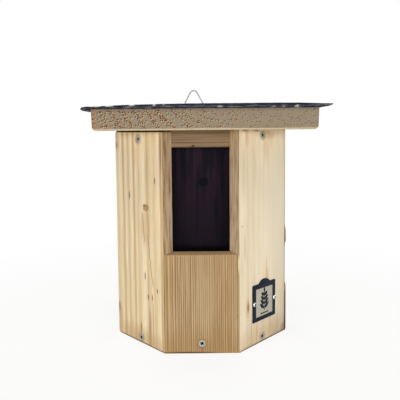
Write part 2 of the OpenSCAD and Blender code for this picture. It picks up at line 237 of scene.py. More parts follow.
def timber(name, origin, across, depth, pith, ring, tones, end_tones=(), bend=4.0,
           contrast=1.0, profile=CRISP_RING, lean=0.0, even=0.3, fibres=1.0, marks=(),
           cracks=(), masks=(), end_look=None, seed=0.0):
    """Sawn softwood: growth rings round a pith line, cut by the board's faces.

    pith is the centre of the rings across and into the board, ring their spacing in mm, and
    lean how far the pith line goes into the board for each mm along it. bend is how far the
    rings wander in mm, even the strength of the faintest one. tones are the early wood, the
    late wood and a broad tint; end_tones the two of the end grain, unless end_look draws it.
    A mark is (across, along, half width, half length, colour, strength); a mask returns the
    factor and colour of a stained or sawn part. Later marks and masks lie over earlier ones.
    """
    made, tree = new_material(name)
    coords, place = own_axes(tree, origin, across, depth)
    grain = across.cross(depth)

    # Rings wander slowly along the grain
    drawn = add(tree, VECTOR, {0: place, 1: (1, 1, 0.14)}, operation="MULTIPLY")
    wander = add(tree, NOISE, {"Vector": drawn, "W": seed, "Scale": 1 / 34, "Detail": 2.0},
                 noise_dimensions="4D")
    parts = add(tree, SPLIT, {0: place})
    into = add(tree, MATH, {0: parts.outputs["Z"], 1: -lean, 2: parts.outputs["Y"]},
               operation="MULTIPLY_ADD")
    flat = add(tree, COMBINE, {"X": parts.outputs["X"], "Y": into})
    radius = add(tree, VECTOR, {0: flat, 1: (*pith, 0)}, operation="DISTANCE")
    radius = add(tree, MATH, {0: wander, 1: 2 * bend, 2: radius}, operation="MULTIPLY_ADD")

    # Rings differ in width and in strength
    count = add(tree, MATH, {0: radius, 1: ring}, operation="DIVIDE")
    swell = add(tree, NOISE, {"W": count, "Scale": 0.31, "Detail": 1.0}, noise_dimensions="1D")
    count = add(tree, MATH, {0: swell, 1: 1.6, 2: count}, operation="MULTIPLY_ADD")
    part = add(tree, MATH, {0: count}, operation="FRACT")
    whole = add(tree, MATH, {0: count}, operation="FLOOR")
    vary = add(tree, NOISE, {"W": whole, "Scale": 3.7, "Detail": 0.0}, noise_dimensions="1D")
    vary = add(tree, RANGE, {"Value": vary, "From Min": 0.3, "From Max": 0.7,
                             "To Min": even * contrast, "To Max": 1.15 * contrast})
    late_wood = add(tree, RAMP, {"Fac": part}, stops=profile)
    line = add(tree, MATH, {0: late_wood, 1: vary}, operation="MULTIPLY", use_clamp=True)

    # Fibres: about half a millimetre wide and some centimetres long
    fine = add(tree, VECTOR, {0: place, 1: (1, 1, 0.02)}, operation="MULTIPLY")
    fibre = add(tree, NOISE, {"Vector": fine, "Scale": 1.1, "Detail": 3.0, "Roughness": 0.65})
    streak = add(tree, VECTOR, {0: place, 1: (1, 1, 0.05)}, operation="MULTIPLY")
    streak = add(tree, NOISE, {"Vector": streak, "Scale": 0.33, "Detail": 2.0})
    broad = add(tree, NOISE, {"Vector": drawn, "W": seed + 5, "Scale": 1 / 22, "Detail": 3.0},
                noise_dimensions="4D")

    early, late, tint = (colour(tone) for tone in tones)
    share = add(tree, RANGE, {"Value": broad, "From Min": 0.45, "From Max": 0.68,
                              "To Max": 0.7})
    face = painted(tree, early, (line, late), (share, tint))
    both = add(tree, MATH, {0: fibre, 1: streak}, operation="ADD")
    shade = add(tree, RANGE, {"Value": both, "From Min": 0.7, "From Max": 1.3,
                              "To Min": 1 - 0.1 * fibres, "To Max": 1 + 0.08 * fibres})
    face = add(tree, VECTOR, {0: face, "Scale": shade}, operation="SCALE")
    for at_across, at_along, wide, long, tone, strength in marks:
        inside = spot(tree, place, (at_across, at_along), (wide, long))
        much = add(tree, MATH, {0: inside, 1: strength}, operation="MULTIPLY")
        face = painted(tree, face, (much, colour(tone)))
    for *line_of_it, tone, strength in cracks:
        inside = crack(tree, place, *line_of_it)
        much = add(tree, MATH, {0: inside, 1: strength}, operation="MULTIPLY")
        face = painted(tree, face, (much, colour(tone)))

    # Sawn ends are greyer
    if end_look:
        end = end_look(tree, flat)
    else:
        end = painted(tree, colour(end_tones[0]), (line, colour(end_tones[1])))
        grit = add(tree, NOISE, {"Vector": flat, "Scale": 0.8, "Detail": 4.0, "Roughness": 0.7})
        shade = add(tree, RANGE, {"Value": grit, "From Min": 0.3, "From Max": 0.7,
                                  "To Min": 0.86, "To Max": 1.1})
        end = add(tree, VECTOR, {0: end, "Scale": shade}, operation="SCALE")
    facing = add(tree, VECTOR, {0: coords.outputs["Normal"], 1: grain}, operation="DOT_PRODUCT")
    facing = add(tree, MATH, {0: facing}, operation="ABSOLUTE")
    # A torn end runs over its worn arris, and a planed one stops short of it
    least, most = (0.62, 0.76) if end_look else (0.8, 0.95)
    is_end = add(tree, RANGE, {"Value": facing, "From Min": least, "From Max": most})
    base = painted(tree, face, (is_end, end))

    for mask in masks:
        base = painted(tree, base, mask(tree, coords, place, fibre))
    rough = add(tree, RANGE, {"Value": fibre, "To Min": 0.65, "To Max": 0.9})
    height = add(tree, MATH, {0: fibre, 1: 0.5, 2: line}, operation="MULTIPLY_ADD")
    finish_surface(tree, base, rough, height, relief=0.12, **{"Specular IOR Level": 0.1})
    return made


# The chamber is stained nearly black: plum where it is thin, blue-black where it is thick. Towards
# its bottom it is darker still with painted shade
STAIN_THIN, STAIN_THICK, PAINTED_SHADE_LOW = "#2B1B28", "#0A0B18", "#0D0B12"


def stained(direction, knot=None):
    """Mask of the stained face of a board, the one that looks that way, darker towards the bottom
    with painted shade.
    """
    def mask(tree, coords, place, fibre):
        inside = faces_along(tree, coords, direction)
        parts = add(tree, SPLIT, {0: place})
        drawn = add(tree, VECTOR, {0: place, 1: (1, 1, 0.07)}, operation="MULTIPLY")
        runs = add(tree, NOISE, {"Vector": drawn, "Scale": 0.16, "Detail": 2.0})
        thick = add(tree, RANGE, {"Value": runs, "From Min": 0.47, "From Max": 0.6,
                                  "To Max": 0.85})
        # Painted shade: darker towards the bottom of the chamber, behind the front panel
        low = add(tree, RANGE, {"Value": parts.outputs["Z"], "From Min": 215,
                                "From Max": 125, "To Max": 0.8})
        faint = add(tree, RANGE, {"Value": fibre, "From Min": 0.4, "From Max": 0.7,
                                  "To Max": 0.35})
        coats = [(low, colour(PAINTED_SHADE_LOW)), (thick, colour(STAIN_THICK)),
                 (faint, colour("#2C2028"))]
        if knot:
            eye = spot(tree, place, knot[:2], (knot[2], knot[2]), soft=0.25, ragged=0.2)
            coats.append((eye, colour("#07080F")))
        return inside, painted(tree, colour(STAIN_THIN), *coats)
    return mask


def sawn(direction, early, late, start=0.9, end=0.96):
    """Mask of a face that looks one way, in colours of its own: a face of another cut, such as a
    mitre, darker and redder than a planed face; also painted light, as on the roof's underside.
    """
    def mask(tree, coords, place, fibre):
        inside = faces_along(tree, coords, direction, start, end)
        drawn = add(tree, VECTOR, {0: place, 1: (1, 1, 0.1)}, operation="MULTIPLY")
        rough = add(tree, NOISE, {"Vector": drawn, "Scale": 0.28, "Detail": 5.0,
                                  "Roughness": 0.6})
        patches = add(tree, RANGE, {"Value": rough, "From Min": 0.46, "From Max": 0.62})
        return inside, painted(tree, colour(early), (patches, colour(late)))
    return mask


# Heights in mm and colours of what is left on the bark edge, from the base up
BARK = [(0, "#3A2A22"), (20, "#5A3A26"), (45, "#7A5030"), (62, "#B59468"),
        (112, "#A99684"), (122, "#6E6068"), (136, "#BCA284"), (190, "#DCC29C")]


def bark(tree, coords, place, fibre):
    """Mask of the bark edge, which stands out past the straight edge of the back board."""
    parts = add(tree, SPLIT, {0: place})
    beyond = add(tree, MATH, {0: parts.outputs["X"], 1: BACK_EDGE_X / MM + 0.3},
                 operation="GREATER_THAN")
    rough = add(tree, NOISE, {"Vector": place, "Scale": 0.35, "Detail": 4.0})
    height = add(tree, MATH, {0: rough, 1: 14.0, 2: parts.outputs["Z"]},
                 operation="MULTIPLY_ADD")
    coats = []
    for (low_height, _), (high_height, tone) in zip(BARK, BARK[1:]):
        share = add(tree, RANGE, {"Value": height, "From Min": low_height + 7,
                                  "From Max": high_height + 7})
        coats.append((share, colour(tone)))
    skin = painted(tree, colour(BARK[0][1]), *coats)
    # Fissures run up the bark, some millimetres apart
    drawn = add(tree, VECTOR, {0: place, 1: (1, 1, 0.22)}, operation="MULTIPLY")
    fissures = add(tree, NOISE, {"Vector": drawn, "Scale": 0.5, "Detail": 6.0,
                                 "Roughness": 0.7})
    shade = add(tree, RANGE, {"Value": fissures, "From Min": 0.38, "From Max": 0.62,
                              "To Min": 0.6, "To Max": 1.25})
    return beyond, add(tree, VECTOR, {0: skin, "Scale": shade}, operation="SCALE")


# The roof board's end shows its heart just above it, with closer rings near the heart
HEART, INNER_REACH, INNER_RING, OUTER_RING = (22.5, 62.0), 65.0, 6.6, 10.9


def torn_end(tree, flat):
    """End grain that the saw tore: rust-brown pits along the rings, most on the left, with painted
    highlights beside them and painted shade under the slate.
    """
    parts = add(tree, SPLIT, {0: flat})
    left = add(tree, RANGE, {"Value": parts.outputs["X"], "From Min": 80, "From Max": -40})
    sway = add(tree, NOISE, {"Vector": flat, "Scale": 1 / 16, "Detail": 2.0})
    radius = add(tree, VECTOR, {0: flat, 1: (*HEART, 0)}, operation="DISTANCE")
    radius = add(tree, MATH, {0: sway, 1: 5.0, 2: radius}, operation="MULTIPLY_ADD")
    beyond = add(tree, MATH, {0: radius, 1: INNER_REACH + 2.5}, operation="SUBTRACT")
    inner = add(tree, MATH, {0: beyond, 1: 0.0}, operation="MINIMUM")
    inner = add(tree, MATH, {0: inner, 1: 1 / INNER_RING - 1 / OUTER_RING},
                operation="MULTIPLY")
    count = add(tree, MATH, {0: beyond, 1: 1 / OUTER_RING, 2: inner},
                operation="MULTIPLY_ADD")
    phase = add(tree, MATH, {0: count}, operation="FRACT")

    # Pits crowd just outside each ring's line; to the lower right of each pit is a painted
    # highlight, a pale fleck where its torn fibres would catch the light
    crowd = add(tree, RAMP, {"Fac": phase}, stops=[(0, 0.9), (0.3, 0.66), (0.5, 0.38),
                                                   (0.75, 0.16), (0.93, 0.12), (0.99, 0.9)])
    thin = add(tree, RANGE, {"Value": left, "To Min": 0.7, "To Max": 0.08})
    crowd = add(tree, MATH, {0: crowd, 1: thin}, operation="SUBTRACT")
    crowd = add(tree, MATH, {0: crowd, 1: 0.14}, operation="MAXIMUM")
    shaken = add(tree, NOISE, {"Vector": flat, "Scale": 0.9, "Detail": 1.0})
    shaken = add(tree, VECTOR, {0: shaken.outputs["Color"], 1: (1.1, 1.1, 0), 2: flat},
                 operation="MULTIPLY_ADD")
    finer = add(tree, RANGE, {"Value": left, "To Min": 0.14, "To Max": 0.0})
    pits = []
    for shift in ((0, 0, 0), (-0.75, 0.8, 0)):
        where = add(tree, VECTOR, {0: shaken, 1: shift}, operation="ADD")
        cells = add(tree, CELLS, {"Vector": where, "Scale": 0.62},
                    voronoi_dimensions="2D")
        distance = add(tree, MATH, {0: cells.outputs["Distance"], 1: finer}, operation="ADD")
        size = add(tree, RANGE, {"Value": distance, "From Min": 0.55, "From Max": 0.35})
        chance = add(tree, SPLIT, {0: cells.outputs["Color"]})
        here = add(tree, MATH, {0: chance, 1: crowd}, operation="LESS_THAN")
        pits.append(add(tree, MATH, {0: size, 1: here}, operation="MULTIPLY"))
    pit, lip = pits
    # lip is the painted highlight beside each pit, strongest on the left
    share = add(tree, RANGE, {"Value": left, "To Min": 0.2, "To Max": 0.6})
    lip = add(tree, MATH, {0: lip, 1: share}, operation="MULTIPLY")

    fine = add(tree, NOISE, {"Vector": flat, "Scale": 0.7, "Detail": 4.0, "Roughness": 0.7})
    grey = add(tree, RANGE, {"Value": fine, "From Min": 0.35, "From Max": 0.65})
    fold = add(tree, MATH, {0: phase, 1: 0.5}, operation="SUBTRACT")
    fold = add(tree, MATH, {0: fold}, operation="ABSOLUTE")
    ring_line = add(tree, RANGE, {"Value": fold, "From Min": 0.44, "From Max": 0.48})
    share = add(tree, RANGE, {"Value": left, "To Min": 0.15, "To Max": 0.85})
    ring_line = add(tree, MATH, {0: ring_line, 1: share}, operation="MULTIPLY")
    fringe = add(tree, RANGE, {"Value": parts.outputs["X"], "From Min": -106,
                               "From Max": -111, "To Max": 0.6})
    # Painted shade: darker along the top of the end, in the slate's shadow
    shade = add(tree, RANGE, {"Value": parts.outputs["Y"], "From Min": 18.5,
                              "From Max": 22, "To Max": 0.45})
    return painted(tree, colour("#94886E"), (grey, colour("#827367")),
                   (ring_line, colour("#A9763C")), (lip, colour("#C4B18E")),
                   (fringe, colour("#B07A42")), (pit, colour("#5E3820")),
                   (shade, colour("#5E5449")))


# ---- Woods of this box ----

# The mitres halve the angle between the panel and a side board
HALF = SIDE_ANGLE / 2
RIGHT_MITRE = Vector((-math.cos(HALF), -math.sin(HALF), 0))

# Front panel: quarter-sawn larch, whose close straight rings read as a comb of lines
panel_wood = timber(
    "quarter_sawn_larch", Vector((0, FRONT_Y, 0)), X, Y, pith=(-420, 90), ring=2.25,
    tones=("#B99D76", "#7C5835", "#A4845B"), end_tones=("#C2A37C", "#93714D"),
    bend=0.7, contrast=1.12, even=0.7, fibres=2.0, seed=3.0,
    # Painted shadow: the first mark, a dark ring round the screw head
    marks=[(0, 11.5, 5.2, 5.2, "#6E4C2E", 0.7), (0, 4, 0.5, 5, "#5F4029", 0.8),
           (40.4, 42.6, 0.5, 0.5, "#4A3324", 0.9),
           (-39.5, 50, 1.6, 80, "#A06F46", 0.3), (-42.7, 50, 0.5, 60, "#5C3D26", 0.7),
           (-37.4, 60, 0.5, 80, "#E0BE90", 0.6), (42.8, 50, 0.35, 60, "#7A5838", 0.5),
           (3, 60, 12, 45, "#B9A77E", 0.3), (38, 78, 1.6, 34, "#A39483", 0.25),
           # Darker towards the base, with a painted shadow line along the left half of the bottom
           # edge
           (0, 0, 60, 26, "#9B723F", 0.3), (-16, 0, 34, 1.7, "#3F2C1C", 0.9),
           (42.4, 103, 0.7, 9, "#EAD4AE", 0.9)])

# Side boards: flat-sawn spruce, nearly white, with broad soft figures. The left one has a
# knot, small brown streaks and cracks; the right one is paler and plainer, with painted light over
# its rear part
STREAK, KNOT, SHADOW = "#85603F", "#A06B3A", "#7A5636"
left_wood = timber(
    "flat_sawn_spruce_left", mirrored(CORNER), mirrored(SIDE_ACROSS), LEFT_OUT,
    pith=(-80, 40), ring=12.0, tones=("#FDEBC7", "#CFAB78", "#E7CB9C"),
    end_tones=("#C4A87E", "#9C7B52"), bend=4.5, contrast=0.9, even=0.5,
    profile=BROAD_RING, fibres=1.5, seed=1.0,
    marks=[(33, 143, 8, 20, "#DDB990", 0.6),
           (31, 166.5, 4.8, 3.9, "#97693A", 0.9), (31.3, 166.2, 2.5, 2.1, "#CFA570", 0.9),
           (34.4, 169, 1.5, 1.5, "#6F4A2A", 0.8),
           (63.4, 180.5, 1.1, 5, STREAK, 0.9), (13.7, 198, 1.1, 3.8, STREAK, 0.8),
           (34.4, 84.3, 0.9, 5, STREAK, 0.9), (29.1, 59.9, 1.1, 3.2, STREAK, 0.9),
           (21.4, 60.4, 0.9, 4, STREAK, 0.9), (11.8, 70.2, 1.0, 3, STREAK, 0.9),
           (90.5, 34, 2.6, 7, KNOT, 0.8), (88, 20, 5, 18, "#CFAA7C", 0.6),
           (89.5, 243, 2.6, 4, "#9A6A44", 0.9), (88, 247, 5, 12, "#D9B68C", 0.6),
           (43.9, 18, 0.8, 7, "#5F3F29", 0.9), (52, 228, 3, 14, "#E8C196", 0.5),
           (2.6, 232, 1.6, 22, "#9C8064", 0.7), (26, 18, 2.2, 26, "#A87B4F", 0.6),
           (44, 6.5, 5.2, 5.2, SHADOW, 0.7), (44, 247.5, 5.2, 5.2, SHADOW, 0.7),
           (46, 0, 50, 18, "#C29B68", 0.5), (46, 0, 70, 1.6, "#5E4730", 0.85)],
    cracks=[(24, 76, 131, 0.14, 2.2, "#7F5B3A", 0.85),
            (36, 128, 158, 0.09, 2.4, "#8F6A46", 0.7),
            (27, 134, 160, 0.12, 1.6, "#A27C55", 0.6),
            (20, 5, 52, 0.02, 2.0, "#7B5334", 0.7)],
    masks=[stained(-LEFT_OUT), sawn(mirrored(RIGHT_MITRE), "#E3C9A4", "#AF885C")])

right_wood = timber(
    "flat_sawn_spruce_right", CORNER, SIDE_ACROSS, -SIDE_OUT,
    pith=(150, -60), ring=9.0, tones=("#F8E9CB", "#E3C9A0", "#F0DCBA"),
    end_tones=("#C8AE86", "#9C7B52"), bend=5.0, contrast=0.65, profile=BROAD_RING, seed=2.0,
    marks=[(53, 76, 8, 26, "#E8BC90", 0.4),
           (16, 49, 1.7, 5.5, "#6F4630", 0.95), (15.5, 49, 3.5, 12, "#D0A77C", 0.5),
           (5.6, 145.6, 0.8, 0.9, "#D08A3A", 0.9),
           (56, 252, 10, 5, "#C59A69", 0.7), (52, 236, 5, 16, "#E2BC8E", 0.6),
           (61, 246, 3, 9, "#CDA472", 0.5), (57, 216, 4, 26, "#E9CBA3", 0.5),
           (10, 255, 6, 2.2, "#A77D50", 0.7), (31, 256, 6, 1.6, "#A0764A", 0.7),
           (14, 246, 3, 10, "#D9B78B", 0.5), (88, 5, 5, 6, "#86665E", 0.5),
           (8, 205, 2.5, 30, "#E0BF98", 0.4), (68, 14, 10, 12, "#D6BA92", 0.5),
           # Painted light: the broad near-white patch centred 66 mm in and 130 mm up, over the rear
           # part of the face, which the front lamp lights less
           (10, 120, 1.2, 16, "#C9A27A", 0.5), (66, 130, 26, 120, "#FFF0D2", 0.85),
           (22, 20, 0.9, 22, "#B98F62", 0.5), (33, 12, 1.1, 14, "#A87C50", 0.5),
           (60, 18, 0.9, 18, "#BF9769", 0.5), (76, 16, 0.9, 14, "#B98F62", 0.4),
           (91.4, 128, 0.6, 130, "#B08B60", 0.6),
           (52.2, 88, 1.5, 14, "#E6BE88", 0.6), (53.6, 78, 3.4, 12, "#E6C08C", 0.6),
           # Painted shadows: dark rings round the two screw heads
           (44, 6.5, 5.2, 5.2, SHADOW, 0.7), (44, 251, 5.2, 5.2, "#8A6542", 0.7),
           (46, 0, 50, 24, "#C9A478", 0.5), (46, 0, 70, 1.6, "#5E4730", 0.85)],
    masks=[stained(-SIDE_OUT), sawn(RIGHT_MITRE, "#E3CAA6", "#BA956B")])

# Back board: flat-sawn spruce with its bark left on the right edge, stained inside
back_wood = timber(
    "flat_sawn_spruce_back", Vector((0, BACK_Y, 0)), X, Y, pith=(20, -70), ring=7.0,
    tones=("#E1C79B", "#C59B65", "#D5B183"), end_tones=("#B99A6C", "#93703F"),
    bend=6.0, contrast=0.9, profile=BROAD_RING, lean=0.05, seed=6.0,
    masks=[stained(-Y, knot=(3.5, 195.5, 6)), bark])

# Ceiling plate: planed pine, darkened by the shade of the roof. Its marks are placed up and
# along, because its grain runs across the box
ceiling_wood = timber(
    "planed_pine", Vector((0, 0, 0)), Z, -Y, pith=(150, -60), ring=2.7,
    tones=("#917A5E", "#5F4D38", "#79664E"), end_tones=("#B08F68", "#8A6844"),
    bend=2.0, contrast=0.9, fibres=2.2, seed=8.0,
    marks=[(238.2, -8.6, 1.1, 1.8, "#3F2A1C", 0.9)],
    masks=[stained(-Z)])

# Floor plate: planed pine, stained where the nest lies
floor_wood = timber(
    "planed_pine_floor", Vector((0, BACK_Y, 0)), Y, Z, pith=(-30, -60), ring=3.6,
    tones=("#D9C191", "#BE9A68", "#CBAE80"), end_tones=("#B08F68", "#8A6844"),
    bend=2.5, contrast=0.9, seed=9.0, masks=[stained(Z)])

# Roof board: sawn pine, with a grey end that the saw tore, and its underside and lower arris
# painted paler as painted light from below
roof_wood = timber(
    "sawn_pine_roof", ROOF_FOOT, X, ROOF_UP, pith=HEART, ring=8.4,
    tones=("#E8D9B6", "#D2B384", "#DCC59C"), bend=2.0, contrast=0.9, fibres=2.0, seed=4.0,
    end_look=torn_end,
    # Painted light: the underside and its lower arris nearly white, as if lit from below
    masks=[sawn(-ROOF_UP, "#FFEDCB", "#FDE2B8", start=0.55, end=0.72)])


# ---- Boards ----

ARRIS_ANGLE, ARRIS_LENGTH = math.radians(25), 5 * MM    # least turn and length of an arris
FLAT_ANGLE = math.radians(0.1)                          # faces nearer than this are one


def place_piece(mesh, finish, replaced=(), smooth=None):
    """Links a finished mesh, already in place, as a piece that rides on the box.

    smooth is the angle in degrees past which an edge stays sharp.
    """
    mesh.materials.clear()
    mesh.materials.append(finish)
    if smooth is not None:
        mesh.shade_smooth()
        mesh.set_sharp_from_angle(angle=math.radians(smooth))
    piece = bpy.data.objects.new(mesh.name, mesh)
    bpy.context.scene.collection.objects.link(piece)
    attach(piece, BODY)
    if replaced:
        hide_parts(*replaced)
    return piece


def board(node_name, finish, eased=0.5):
    """Stands for a packed board: the same solid with its long arrises eased, in mm."""
    shape = bmesh.new()
    shape.from_mesh(NODES[node_name].data)
    bmesh.ops.remove_doubles(shape, verts=shape.verts, dist=MERGE)
    bmesh.ops.dissolve_limit(shape, angle_limit=FLAT_ANGLE, verts=shape.verts,
                             edges=shape.edges)
    arrises = [e for e in shape.edges if e.is_manifold
               and e.calc_face_angle() > ARRIS_ANGLE and e.calc_length() > ARRIS_LENGTH]
    bmesh.ops.bevel(shape, geom=arrises, offset=eased * MM, segments=2, profile=0.5,
                    affect="EDGES", clamp_overlap=True)
    bmesh.ops.triangulate(shape, faces=[f for f in shape.faces if len(f.verts) > 4])
    mesh = bpy.data.meshes.new(node_name + "_wood")
    shape.to_mesh(mesh)
    shape.free()
    return place_piece(mesh, finish, replaced=[node_name])


board("front_panel", panel_wood)
board("left_wall", left_wood)
board("right_wall", right_wood)
board("back_board", back_wood)
board("floor_plate", floor_wood)
board("ceiling_plate", ceiling_wood, eased=0.3)
board("roof_board", roof_wood, eased=0.25)

# ---- Slate ----

ROOF_LEFT, ROOF_RIGHT = (corner.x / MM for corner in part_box("roof_board"))
SLATE_LEFT, SLATE_RIGHT = (corner.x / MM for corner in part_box("roof_slate"))
SLATE_FRONT, SLATE_REAR = -33.9, 84.5       # up the slope, from the panel's plane
SLATE_DROOP, SLATE_LIFT = 3.0, 2.0          # its left tip hangs down, its right one stands off
# Its thickness in mm across the box: thick at the left tip, thin over the board's left end
SLATE_THICK = [(SLATE_LEFT, 4.0), (ROOF_LEFT, 2.4), (ROOF_LEFT + 33, 4.1),
               (ROOF_LEFT + 90, 5.0), (ROOF_RIGHT - 20, 5.0), (ROOF_RIGHT, 4.2),
               (SLATE_RIGHT, 1.8)]
SKIM = 0.03                                 # keeps the slate off the board's face
RIM_POINTS = 620                            # round the slate, about 1.2 mm apart
KNOCKED_OFF = 1.4                           # how far its corners are worn in


def read_off(table, value):
    """The value of a table of points at a place, in straight lines between them."""
    for (low, at_low), (high, at_high) in zip(table, table[1:]):
        if value <= high:
            share = max(0, (value - low) / (high - low))
            return at_low + (at_high - at_low) * share
    return table[-1][1]


def rough_at(x, y, z, size, seed=0.0):
    """Smooth noise between -1 and 1 whose bumps are about size mm apart."""
    return noise.noise(Vector((x / size + seed, y / size - seed, z / size + 2 * seed)))


def slate_rim():
    """Points round the slate's outline, in roof mm."""
    wide, deep = SLATE_RIGHT - SLATE_LEFT, SLATE_REAR - SLATE_FRONT
    sides = [(SLATE_LEFT, SLATE_FRONT, 1, 0, wide), (SLATE_RIGHT, SLATE_FRONT, 0, 1, deep),
             (SLATE_RIGHT, SLATE_REAR, -1, 0, wide), (SLATE_LEFT, SLATE_REAR, 0, -1, deep)]
    rim = []
    for x, y, dx, dy, length in sides:
        steps = round(RIM_POINTS * length / (2 * (wide + deep)))
        rim += [(x + dx * length * k / steps, y + dy * length * k / steps)
                for k in range(steps)]
    return rim


def chip_depth(x, y, row):
    """How far a flake has gone in from the outline at that row of the edge, in mm."""
    broad = 0.9 * max(0, rough_at(x, y, row * 3, 11, 3.1))
    return broad + 1.1 * max(0, rough_at(x, y, row * 5, 3.2, 7.7))


# Rows of the slate's edge, from under it to its top: distance in from the outline in mm,
# share of the thickness, how ragged the row is and how much of the edge's paler break shows
SLATE_EDGE = [(2.6, 0.0, 1, 0.1), (1.7, 0.2, 1, 0.7), (0.9, 0.4, 1, 1.0), (0.35, 0.58, 1, 0.7),
              (0.1, 0.8, 1, 0.1), (0.5, 1.0, 1, 0), (1.6, 1.0, 1, 0), (4.2, 1.0, 0, 0),
              (6.2, 1.0, 0, 0), (8.8, 1.0, 0, 0)]
UNDER_SHARES = [0.03, 0.3, 0.6, 0.85]       # rings of the underside, from the middle out
TOP_SHARES = [0.84, 0.76, 0.68, 0.6, 0.52, 0.44, 0.36, 0.28, 0.2, 0.12, 0.04]


def break_and_glint_shown(x, y, inset, share, broken):
    """How much of the paler break, and of painted glint, a row of the edge shows there.

    The top arris over the board's left end gets painted highlights, pale flecks where light would
    glint off it; the lower arris is flaked towards the right.
    """
    # Painted highlights: glints on the top arris over the board's left end
    if share >= 0.8 and inset < 1 and ROOF_LEFT < x < ROOF_LEFT + 75:
        return max(broken, 6 * rough_at(x, y, 0, 7, 4.4))
    if share in (0.2, 0.4) and x > 0:
        return max(broken, 4.2 * rough_at(x * 0.5, y, 0, 4, 8.8))
    return broken


def make_slate():
    """A riven slate: broken edges, a drooping left end and a thin right end."""
    rim = slate_rim()
    middle = Vector(((SLATE_LEFT + SLATE_RIGHT) / 2, (SLATE_FRONT + SLATE_REAR) / 2))
    half_wide, half_deep = SLATE_RIGHT - middle.x, SLATE_REAR - middle.y
    points, breaks = [], []

    def put(x, y, share, broken):
        thick = read_off(SLATE_THICK, x)
        off_left = max(0, (ROOF_LEFT - x) / (ROOF_LEFT - SLATE_LEFT))
        off_right = max(0, (x - ROOF_RIGHT) / (SLATE_RIGHT - ROOF_RIGHT))
        base = SLATE_LIFT * off_right - SLATE_DROOP * off_left ** 2
        # Broad waves and low ridges of the riven face
        relief = 0.5 + 0.5 * rough_at(x, y * 0.6, 0, 24, 1.3)
        relief += 0.5 * abs(rough_at(x, y, 0, 7, 5.9))
        height = base + (thick - 0.4 * relief) * share + SKIM
        points.append(on_roof(x, y, ROOF_T / MM + height))
        breaks.append(broken)

    def put_face(shares, height):
        for share in shares:
            for x, y in rim:
                put(*middle.lerp(Vector((x, y)), share), height, 0.0)

    put_face(UNDER_SHARES, 0.0)
    for row, (inset, share, ragged, broken) in enumerate(SLATE_EDGE):
        for x, y in rim:
            depth = inset + ragged * chip_depth(x, y, row)
            height = share
            if 0 < share < 1:
                height += 0.12 * rough_at(x, y, row * 7, 2.6, 2.2)
            point = middle + Vector(((x - middle.x) * (1 - depth / half_wide),
                                     (y - middle.y) * (1 - depth / half_deep)))
            nearest = min(math.hypot(x - cx, y - cy) for cx in (SLATE_LEFT, SLATE_RIGHT)
                          for cy in (SLATE_FRONT, SLATE_REAR))
            point += (middle - point).normalized() * KNOCKED_OFF * math.exp(-nearest / 4)
            put(*point, height, break_and_glint_shown(x, y, inset, share, broken))
    put_face(TOP_SHARES, 1.0)
    size = len(rim)
    rings = [range(start, start + size) for start in range(0, len(points), size)]
    faces = [(low[k], low[(k + 1) % size], high[(k + 1) % size], high[k])
             for low, high in zip(rings, rings[1:]) for k in range(size)]
    faces += [tuple(reversed(rings[0])), tuple(rings[-1])]
    mesh = bpy.data.meshes.new("riven_slate")
    mesh.from_pydata(points, [], faces)
    mesh.attributes.new("break", "FLOAT", "POINT").data.foreach_set("value", breaks)
    shape = bmesh.new()
    shape.from_mesh(mesh)
    bmesh.ops.recalc_face_normals(shape, faces=shape.faces)
    shape.to_mesh(mesh)
    shape.free()
    return mesh


